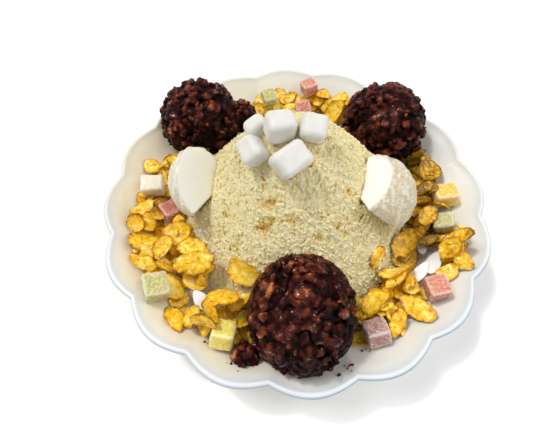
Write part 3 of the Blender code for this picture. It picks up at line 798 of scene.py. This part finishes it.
def make_mound():
    """The cone of ice under its powder, closed underneath along the dish."""
    solid = bmesh.new()
    bmesh.ops.create_grid(solid, x_segments=MOUND_CELLS, y_segments=MOUND_CELLS, size=1.0)
    tones = []
    for vert in solid.verts:
        x, y = on_disc(vert.co)
        vert.co, relief, bare = mound_point(MOUND_RADIUS * x, MOUND_RADIUS * y)
        # Painted shade: the tone darkens where the relief sinks; the hollows add their own golden tone
        tones.append(POWDER_TONE - RECESS_PAINTED_SHADE * relief + HOLLOW_SHADE * bare)
    spread(solid, "tone", tones)
    for inset in (0, 22):
        rim = [edge for edge in solid.edges if edge.is_boundary]
        fresh = bmesh.ops.extrude_edge_only(solid, edges=rim)
        for vert in (item for item in fresh["geom"] if isinstance(item, bmesh.types.BMVert)):
            vert.co.xy *= (MOUND_RADIUS - inset) / MOUND_RADIUS
            vert.co.z = dish_height(vert.co.x, vert.co.y) + 0.35
    bmesh.ops.contextual_create(solid, geom=[edge for edge in solid.edges if edge.is_boundary])
    bmesh.ops.recalc_face_normals(solid, faces=solid.faces)
    return solid


def beside_powder(draw):
    """A place where white ice shows at the foot of the powder."""
    bearing, distance = draw.choice(ICE_SHOWS)
    x, y = polar(bearing + draw.gauss(0, 3), distance + draw.gauss(0, 2.5))
    return Vector((x, y, max(dish_height(x, y), mound_point(x, y)[0].z if distance < 60 else 0)))


def beside_scoop(draw):
    """A place on the dish near the front scoop, where bits of bean fell."""
    bearing, distance = draw.choice(FALLEN_BITS)
    x, y = polar(bearing + draw.gauss(0, 0.8), distance + draw.gauss(0, 0.8))
    return Vector((x, y, dish_height(x, y) + 0.3))


def make_crumbs(count, size_range, place_of, tone_of, seed):
    """Loose crumbs, each at a place and of a tone that functions draw."""
    draw = random.Random(seed)
    shapes = [arrays_of(pebble(index, 1, 0.9)) for index in range(8)]
    copies = []
    for index in range(count):
        size = size_range[0] + (size_range[1] - size_range[0]) * draw.random() ** 3
        place = place_of(draw)
        if place is None:
            continue
        turn = any_turn(draw)
        flat = Matrix.Diagonal((size, size * draw.uniform(0.6, 1.0), size * draw.uniform(0.5, 0.9), 1))
        place = place + Vector((0, 0, 0.15 * size))
        copies.append((index % len(shapes), Matrix.Translation(place) @ turn @ flat, tone_of(draw)))
    return joined(shapes, copies)


def powder_tone(draw):
    """Mostly pale crumbs, a few toasted."""
    return clamp(draw.gauss(0.02, 0.14), 0.0, 0.7)


def on_mound(draw):
    """A place on the powder, drawn evenly over the slope, with crumbs fewer where it is bare."""
    x, y = polar(draw.uniform(0, 360), (MOUND_RADIUS - 1.5) * math.sqrt(draw.random()))
    place, _, bare = mound_point(x, y)
    return None if draw.random() < bare else place


def round_mound(draw):
    """A place near the foot of the mound, on the powder or the dish."""
    x, y = polar(draw.uniform(0, 360), MOUND_RADIUS + draw.gauss(0, 6))
    height = dish_height(x, y)
    if math.hypot(x, y) < MOUND_RADIUS:
        height = max(height, mound_point(x, y)[0].z)
    return Vector((x, y, height))


# Bean paste

def depth_in(place, centre, half_lengths):
    """How far a place lies outside a ball of paste, or inside it where negative."""
    across = place - Vector(centre)
    share = Vector([value / length for value, length in zip(across, half_lengths)]).length
    return across.length * (1 - 1 / share)


def make_scoop(rows, seed):
    """A scoop of paste: whole and broken beans pressed into a ball, under one moist skin with holes."""
    draw = random.Random(seed)
    ball = arrays_of(pebble(seed, 5, 0.12))
    shapes = [ball] + [arrays_of(pebble(index, 3, 0.26)) for index in range(1, 9)]
    copies = []
    for centre, half_lengths, beans, bits in rows:
        core = [2 * max(length - CORE_INSET, 2) for length in half_lengths]
        copies.append((0, Matrix.Translation(centre) @ Matrix.Diagonal(core + [1]), CORE_TONE))
        for index in range(beans + bits):
            whole = index < beans
            among, count = (index, beans) if whole else (index - beans, bits)
            height = 1 - 2 * (among + 0.5) / count
            angle = among * GOLDEN_ANGLE + draw.uniform(-0.5, 0.5)
            ring = math.sqrt(1 - height * height)
            outward = Vector((ring * math.cos(angle), ring * math.sin(angle), height))
            length = draw.uniform(*(BEAN_LENGTH if whole else BIT_LENGTH))
            width = length * draw.uniform(0.55, 0.8)
            depth = width * draw.uniform(0.6, 1.0)
            top = draw.uniform(*BEAN_DEPTH)
            place = Vector(centre) + Vector([a * b for a, b in zip(outward, half_lengths)])
            place += outward * (top - depth / 2)
            turn = outward.to_track_quat("Z", "Y").to_matrix().to_4x4()
            lean = Euler((draw.gauss(0, 0.4), draw.gauss(0, 0.4), draw.uniform(0, math.tau)))
            lean = lean.to_matrix().to_4x4()
            size = Matrix.Diagonal((length, width, depth, 1))
            tone = clamp(draw.gauss(*BEAN_TONE) + 0.06 * top, 0.0, 0.9)
            if draw.random() < PALE_BEANS:
                tone = 1.0
            copies.append((draw.randint(1, 8), Matrix.Translation(place) @ turn @ lean @ size, tone))
    lumps = joined(shapes, copies)
    owners = [tone for shape, _, tone in copies for _ in shapes[shape][1]]
    tree = BVHTree.FromBMesh(lumps)
    skin = remeshed(lumps, SCOOP_VOXEL)
    skin.normal_update()
    tones = []
    moves = []
    for vert in skin.verts:
        place = vert.co
        face, distance = tree.find_nearest(place)[2:]
        crack = max(0.0, 1 - abs(waves(place, 7.5, (seed * 3, 0, 0))) / 0.09)
        crack *= clamp(waves(place, 9, (0, seed * 5, 0)) * 3 + 0.4)
        wrinkle = 0.6 * waves(place, 3.2, (7, 0, 0)) + 0.6 * abs(waves(place, 1.7))
        wrinkle += 0.3 * waves(place, 0.95)
        moves.append(vert.normal * (wrinkle - CRACK_DEPTH * crack))
        # Painted shade: the tone is darker in the cracks, where the skin lies deep inside the balls of paste,
        # and on the side facing lower right
        out = min(depth_in(place, centre, half_lengths) for centre, half_lengths, _, _ in rows)
        shade = min(0.84, 0.25 + 0.53 * owners[face] + 0.5 * waves(place, 3.4, (0, 0, seed)))
        shade -= 0.2 * clamp(vert.normal.dot(Vector(PAINTED_SHADE_SIDE)) + 0.25, -0.4)
        pale = owners[face] - 0.1 if owners[face] == 1 else 0
        tones.append(max(shade, pale) - 0.4 * crack + 0.14 * out)
    for vert, move in zip(skin.verts, moves):
        vert.co += move
        vert.co.z = max(vert.co.z, dish_height(vert.co.x, vert.co.y) + 0.3)
    lumps.free()
    spread(skin, "tone", tones)
    return skin


# Rice cakes

def make_wedge(centre, radius, flats, seed, dusting):
    """A ball of rice cake cut by flat faces, with soft edges and a rough skin."""
    solid = bmesh.new()
    bmesh.ops.create_icosphere(solid, subdivisions=5, radius=radius)
    for normal, distance in flats:
        direction = Vector(normal).normalized()
        cut = bmesh.ops.bisect_plane(solid, geom=solid.verts[:] + solid.edges[:] + solid.faces[:],
                                     plane_co=direction * distance, plane_no=direction, clear_outer=True)
        rim = [item for item in cut["geom_cut"] if isinstance(item, bmesh.types.BMEdge)]
        bmesh.ops.contextual_create(solid, geom=rim)
    bmesh.ops.recalc_face_normals(solid, faces=solid.faces)
    skin = remeshed(solid, WEDGE_VOXEL)
    for _ in range(3):
        bmesh.ops.smooth_vert(skin, verts=skin.verts, factor=0.5, use_axis_x=True, use_axis_y=True,
                              use_axis_z=True)
    dust_and_contact_shade = []
    for vert in skin.verts:
        crust = clamp((vert.co.length - radius + 1.6) / 1.2)
        upright = Vector((vert.co.x / 2.6, vert.co.y / 3.6, vert.co.z / 20))
        ridge = noise.noise(upright + Vector((seed, 0, 0)))
        rough = waves(vert.co, 1.4)
        vert.co += vert.normal * (crust * (0.8 * ridge + 0.2 * rough - 0.15) + 0.12 * waves(vert.co, 5))
        dust_and_contact_shade.append(dusting * crust * clamp(1.0 - 0.6 * ridge - 0.4 * rough, 0.5))
    spread(skin, "dust_and_contact_shade", dust_and_contact_shade)
    bmesh.ops.translate(skin, vec=centre, verts=skin.verts)
    return skin


def make_small_cake(name, seed):
    """A soft rounded block of rice cake, with powder dust and painted contact shade round its foot."""
    matrix, size = node_frame(name)
    solid = soft_block(size - Vector((CAKE_INSET, CAKE_INSET, CAKE_INSET)), CAKE_ROUNDING, 22)
    swell(solid, 0.8, 8, seed)
    swell(solid, 0.12, 2, seed + 3)
    limits = [edge / 2 - CAKE_MARGIN for edge in size]
    for vert in solid.verts:
        vert.co = Vector([clamp(value, -limit, limit) for limit, value in zip(limits, vert.co)])
    bmesh.ops.transform(solid, matrix=matrix, verts=solid.verts)
    for vert in solid.verts:
        vert.co.z = min(vert.co.z, solid_high[2] / MM)
    # Painted contact shade: the golden dusty colour goes where the cake comes close to the powder
    gaps = [vert.co.z - mound_height(vert.co.x, vert.co.y) for vert in solid.verts]
    spread(solid, "dust_and_contact_shade", [clamp((3.2 - gap) / 1.6) for gap in gaps])
    return solid


# Flakes

def flake_solid(length, width, seed, segments, painted_shade=0.0):
    """A curled, blistered corn flake with a ragged edge."""
    draw = random.Random(seed)
    solid = bmesh.new()
    bmesh.ops.create_grid(solid, x_segments=segments[0], y_segments=segments[1], size=1.0)
    shift = Vector((seed * 1.7, 0, 0))
    bow = length * draw.uniform(0.02, 0.11) * draw.choice((-1, 1, 1))
    curl = width * draw.uniform(0.04, 0.18) * draw.choice((-1, 1, 1))
    twist = width * draw.uniform(-0.16, 0.16)
    limits = ((-0.8, 0.8), (-0.8, 0.8), (0.7, 1.5), (-0.7, 1.0))
    blisters = [[draw.uniform(*pair) for pair in limits] for _ in range(BLISTERS)]
    # Painted shade darkens the flakes right behind the right rice cake
    shade = draw.gauss(*FLAKE_TONE) + painted_shade
    tones = []
    for vert in solid.verts:
        x, y = on_disc(vert.co)
        out = math.hypot(x, y)
        rim = Vector((x, y, 0)) / max(out, 0.001)
        ragged = 1 + 0.14 * noise.noise(rim * 1.3 + shift) + 0.08 * noise.noise(rim * 4 + shift)
        place = Vector((x * length / 2 * ragged, y * width / 2 * ragged, 0))
        lift = bow * x * x + curl * y * y + twist * x * y + 0.5 * waves(place, 4.2, shift)
        lift += 0.1 * waves(place, 1.5, shift)
        toast = 0.0
        for bx, by, reach, high in blisters:
            near = math.hypot(place.x - bx * length / 2, place.y - by * width / 2) / reach
            if near < 1:
                bulge = (1 - near * near) ** 2
                lift += BLISTER_HEIGHT * high * bulge
                toast += BLISTER_BROWN * abs(high) * bulge
        place.z = lift
        vert.co = place
        toast += RIM_BROWN * max(0.0, out - 0.8) / 0.2
        tones.append(shade + toast + 0.4 * waves(place, 4, shift))
    spread(solid, "tone", tones)
    bmesh.ops.solidify(solid, geom=solid.faces[:], thickness=FLAKE_THICKNESS)
    bmesh.ops.recalc_face_normals(solid, faces=solid.faces)
    return solid


class Ground:
    """Heights of what the flakes lie on, on an even grid. Each flake that lands raises it."""

    def __init__(self, trees):
        self.reach = LOBE_RADIUS
        count = int(2 * self.reach / GROUND_STEP) + 2
        self.height = np.zeros((count, count))
        for row in range(count):
            for column in range(count):
                x, y = row * GROUND_STEP - self.reach, column * GROUND_STEP - self.reach
                if math.hypot(x, y) < NOTCH_RADIUS:
                    start = Vector((x, y, 500))
                    hits = [tree.ray_cast(start, Vector((0, 0, -1)))[0] for tree in trees]
                    self.height[row, column] = max(hit.z for hit in hits if hit)

    def cells(self, points):
        """Which cell of the grid each point is over."""
        index = ((np.asarray(points)[:, :2] + self.reach) / GROUND_STEP).astype(int)
        return np.clip(index, 0, len(self.height) - 2)

    def under(self, points):
        """The height of what lies under each point."""
        index = self.cells(points)
        return self.height[index[:, 0], index[:, 1]]

    def raise_to(self, points):
        """Let what lies at these points carry what comes next."""
        index = self.cells(points)
        for dx, dy in ((0, 0), (1, 0), (0, 1), (1, 1)):
            np.maximum.at(self.height, (index[:, 0] + dx, index[:, 1] + dy), points[:, 2])

    def slope(self, x, y, length, width, spin):
        """The upward normal of what lies under a flake's outline."""
        turn = Matrix.Rotation(math.radians(spin), 2)
        marks = [(a * length, b * width) for a in (-0.36, 0, 0.36) for b in (-0.36, 0, 0.36)]
        spots = np.array([turn @ Vector(mark) for mark in marks])
        heights = self.under(spots + np.array((x, y)))
        plane = np.linalg.lstsq(np.column_stack((spots, np.ones(len(spots)))), heights, rcond=None)[0]
        return Vector((-plane[0], -plane[1], 1)).normalized()


def painted_shade_at(bearing, distance):
    """How much painted shade darkens the flakes: the ones right behind the right rice cake are darkened most.
    """
    across = abs((bearing + 180) % 360 - 180 - 5) / 45
    return 0.55 * max(0.0, 1 - across * across) * clamp((90 - distance) / 12)


def lay_flake(ground, row, seed, lean, obstacles, segments):
    """A flake laid on the ground, tipped less, raised or shortened where it would cross a neighbour."""
    bearing, distance, length, width, spin = row
    x, y = polar(bearing, distance)
    for share, lift, size in FLAKE_TRIES:
        solid = flake_solid(size * length, size * width, seed, segments, painted_shade_at(bearing, distance))
        normal = ground.slope(x, y, size * length, size * width, spin)
        turn = Vector((0, 0, 1)).rotation_difference(normal).to_matrix().to_4x4()
        tip = Euler((math.radians(share * lean[0]), math.radians(share * lean[1]), math.radians(spin)))
        matrix = Matrix.Translation((x, y, 0)) @ turn @ tip.to_matrix().to_4x4()
        bmesh.ops.transform(solid, matrix=matrix, verts=solid.verts)
        points = np.array([vert.co for vert in solid.verts])
        drop = np.percentile(points[:, 2] - ground.under(points), 10)
        bmesh.ops.translate(solid, vec=(0, 0, lift - drop), verts=solid.verts)
        points[:, 2] += lift - drop
        tree = BVHTree.FromBMesh(solid)
        if not any(tree.overlap(obstacle) for obstacle in obstacles):
            ground.raise_to(points)
            return solid
        solid.free()
    return None


def make_heap(name, ground, obstacles, almond_spots, seed):
    """A heap of flakes: a bed of smaller ones, then the ones that stand out."""
    draw = random.Random(seed)
    first, last, middle, inward, outward, count = HEAPS[name]
    rows = []
    for index in range(count):
        along = (index * 0.618) % 1.0
        across = draw.uniform(-1, 1)
        fullness = math.sin(math.pi * clamp(along, 0.12, 0.88)) ** 0.5
        distance = middle + across * (outward if across > 0 else inward) * fullness
        length = draw.uniform(*BED_LENGTH)
        width = length * draw.uniform(0.55, 0.8)
        rows.append((first + (last - first) * along, distance, length, width, draw.uniform(0, 180)))
    rows += FLAKES[name]
    heap = bmesh.new()
    for index, row in enumerate(rows):
        tip = BED_LEAN if index < count else TOP_LEAN
        lean = (draw.gauss(0, tip), draw.gauss(0, tip))
        place = polar(row[0], row[1])
        if index < count and any(math.dist(place, spot) < clear for spot, clear in almond_spots):
            continue
        segments = BED_CELLS if index < count else FLAKE_CELLS
        solid = lay_flake(ground, row, seed * 1000 + index, lean, obstacles, segments)
        if solid is not None:
            mesh = loose_mesh(solid)
            heap.from_mesh(mesh)
            bpy.data.meshes.remove(mesh)
    return heap


def make_lone_flake(name, seed):
    """A flake that lies by itself on the powder."""
    matrix, size = leaf_frame(name)
    solid = flake_solid(size[0] * 1.05, size[1] * 1.3, seed, FLAKE_CELLS)
    bmesh.ops.transform(solid, matrix=matrix, verts=solid.verts)
    bmesh.ops.translate(solid, vec=(0, 0, 0.8), verts=solid.verts)
    return solid


def make_almond(name, seed):
    """A thin slice of almond, pointed at one end, with skin round its edge."""
    matrix, size = leaf_frame(name)
    solid = bmesh.new()
    bmesh.ops.create_grid(solid, x_segments=20, y_segments=12, size=1.0)
    tones = []
    for vert in solid.verts:
        x, y = on_disc(vert.co)
        tones.append(math.hypot(x, y))
        narrow = 1 - 0.35 * max(0.0, x)
        vert.co = Vector((x * size[0] / 2, y * size[1] / 2 * narrow, 0))
        vert.co.z = 0.5 * waves(vert.co, 6, (seed, 0, 0))
    spread(solid, "tone", tones)
    bmesh.ops.solidify(solid, geom=solid.faces[:], thickness=ALMOND_THICKNESS)
    bmesh.ops.recalc_face_normals(solid, faces=solid.faces)
    bmesh.ops.transform(solid, matrix=matrix, verts=solid.verts)
    return solid


# Jelly

def make_jelly(name, seed):
    """A slightly slumped cube of jelly."""
    matrix, size = node_frame(name)
    solid = soft_block(size, JELLY_ROUNDING, 18)
    rims = []
    for vert in solid.verts:
        apart = sorted(edge / 2 - abs(value) for edge, value in zip(size, vert.co))
        rims.append(0.75 * clamp(1.2 - apart[1] / 1.1))
    spread(solid, "rim", rims)
    swell(solid, 0.55, 6, seed)
    swell(solid, 0.2, 1.6, seed + 5)
    bmesh.ops.transform(solid, matrix=matrix, verts=solid.verts)
    return solid


def make_sugar(solids, seed):
    """Grains of sugar stuck all over the jelly cubes."""
    draw = random.Random(seed)
    shapes = []
    for index in range(4):
        shape = bmesh.new()
        bmesh.ops.create_cube(shape, size=1.0)
        bmesh.ops.scale(shape, vec=(1, draw.uniform(0.6, 1), draw.uniform(0.6, 1)), verts=shape.verts)
        shapes.append(arrays_of(shape))
    copies = []
    for points, triangles in solids:
        for index in range(SUGAR_GRAINS):
            corners = points[triangles[draw.randrange(len(triangles))]]
            place = Vector(corners.mean(0))
            turn = any_turn(draw)
            size = draw.uniform(*SUGAR_SIZE)
            matrix = Matrix.Translation(place) @ turn @ Matrix.Diagonal((size, size, size, 1))
            copies.append((index % 4, matrix, 0.0))
    return joined(shapes, copies)


# Putting the dessert together

def tree_of_node(name):
    """A search tree of a solid of the frame, in millimetres."""
    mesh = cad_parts[name].data
    points = [vert.co / MM for vert in mesh.vertices]
    return BVHTree.FromPolygons(points, [tuple(face.vertices) for face in mesh.polygons])


def jelly_slot(name):
    """The slot of a jelly cube, from the colour in its name."""
    return "_".join(name.split("_")[:2])


powder_finish = powder()
flake_finish = corn_flake()
paste_finish = bean_paste()
cake_finish = rice_cake("soft_rice_cake", *SMALL_CAKE_COLOURS)
wedge_finish = rice_cake("dusted_rice_cake", *LARGE_CAKE_COLOURS)

dish_solid = make_dish()
mound_solid = make_mound()
ground = Ground([BVHTree.FromBMesh(dish_solid), BVHTree.FromBMesh(mound_solid)])
piece("scalloped_dish", dish_solid, glaze(), ["dish"], sharp=40)
piece("powdered_ice", mound_solid, powder_finish, ["ice_mound"])
for number_of in range(2):
    crumbs = make_crumbs(5500, (0.7, 2.2), on_mound, powder_tone, 11 + number_of)
    piece("powder_crumbs_" + "ab"[number_of], crumbs, powder_finish, sharp=30)
spill = make_crumbs(1500, (0.4, 1.5), round_mound, powder_tone, 21)
piece("spilt_powder", spill, powder_finish, sharp=30)
shavings = make_crumbs(160, (1.2, 3.2), beside_powder, lambda draw: 0.0, 22)
piece("ice_shavings", shavings, ice(), sharp=30)
bits = make_crumbs(36, (0.6, 2.0), beside_scoop, lambda draw: draw.uniform(0.5, 1.0), 23)
piece("bean_crumbs", bits, paste_finish, sharp=60)

for number_of, (name, rows) in enumerate(SCOOPS.items()):
    piece(name + "_paste", make_scoop(rows, number_of + 1), paste_finish, [name], sharp=75)

for number_of, (name, row) in enumerate(WEDGES.items()):
    wedge = make_wedge(*row, 5 * number_of + 2, WEDGE_DUST[name])
    piece(name + "_cut", wedge, wedge_finish, [name], sharp=75)
for number_of, name in enumerate(SMALL_CAKES):
    piece(name + "_soft", make_small_cake(name, 3 * number_of), cake_finish, [name], sharp=75)

obstacles = [tree_of_node(name) for name in (*SCOOPS, *WEDGES, *JELLIES)]
almond_spots = [(leaf_frame(name)[0].translation.xy, clear) for name, clear in ALMONDS.items()]
almond_solids = [make_almond(name, number_of) for number_of, name in enumerate(ALMONDS)]
for almond in almond_solids:
    ground.raise_to(np.array([vert.co for vert in almond.verts]))
for number_of, name in enumerate(HEAPS):
    heap = make_heap(name, ground, obstacles, almond_spots, number_of + 1)
    piece("corn_" + name, heap, flake_finish, [name], sharp=50)
for number_of, name in enumerate(LONE_FLAKES):
    piece("corn_" + name, make_lone_flake(name, number_of + 71), flake_finish, [name], sharp=50)

almond_finish = almond_slice()
for name, almond in zip(ALMONDS, almond_solids):
    piece(name + "_slice", almond, almond_finish, [name], sharp=40)

jelly_finishes = {slot: jelly(slot + "_sugared", *colours) for slot, colours in JELLY_COLOURS.items()}
cubes = []
for number_of, name in enumerate(JELLIES):
    cube = make_jelly(name, 7 * number_of)
    cubes.append(arrays_of(cube.copy()))
    piece(name + "_cube", cube, jelly_finishes[jelly_slot(name)], [name], sharp=75)
piece("sugar_grains", make_sugar(cubes, 5), sugar(), sharp=30)


# Floor, light and camera

def make_stage():
    """A plain white table top."""
    solid = bmesh.new()
    bmesh.ops.create_grid(solid, x_segments=8, y_segments=8, size=2.0)
    mesh = loose_mesh(solid)
    material = finish("pale_table", 0.8, {"Specular IOR Level": 0.1})
    drive(material, "Base Color", mottled(material, 300, (0.97, 0.97, 0.97), (0.99, 0.99, 0.99)))
    mesh.materials.append(material)
    floor = bpy.data.objects.new("table_top", mesh)
    bpy.context.scene.collection.objects.link(floor)


def make_light(name, direction, softness, strength, colour):
    """Even light from one direction, with soft shadows."""
    lamp = bpy.data.lights.new(name, "SUN")
    lamp.angle = math.radians(softness)
    lamp.energy = strength
    lamp.color = colour
    item = bpy.data.objects.new(name, lamp)
    item.rotation_euler = Vector(direction).to_track_quat("Z", "Y").to_euler()
    bpy.context.scene.collection.objects.link(item)


make_stage()
for light in LIGHTS:
    make_light(*light)
world = bpy.data.worlds.new("studio")
world.use_nodes = True
sky = world.node_tree.nodes["Background"]
sky.inputs["Color"].default_value = (1.0, 1.0, 1.0, 1)
sky.inputs["Strength"].default_value = SKY_STRENGTH
bpy.context.scene.world = world
bpy.context.scene.view_settings.view_transform = "Standard"

camera_data = bpy.data.cameras.new("camera")
camera_data.sensor_width = SENSOR_WIDTH
camera_data.lens = FOCAL_PIXELS / PICTURE_WIDTH * SENSOR_WIDTH
camera = bpy.data.objects.new("camera", camera_data)
camera.location = CAMERA_PLACE
camera.rotation_euler = (math.radians(90 - LOOKS_DOWN), 0, 0)
bpy.context.scene.collection.objects.link(camera)
bpy.context.scene.camera = camera

bpy.context.view_layer.update()
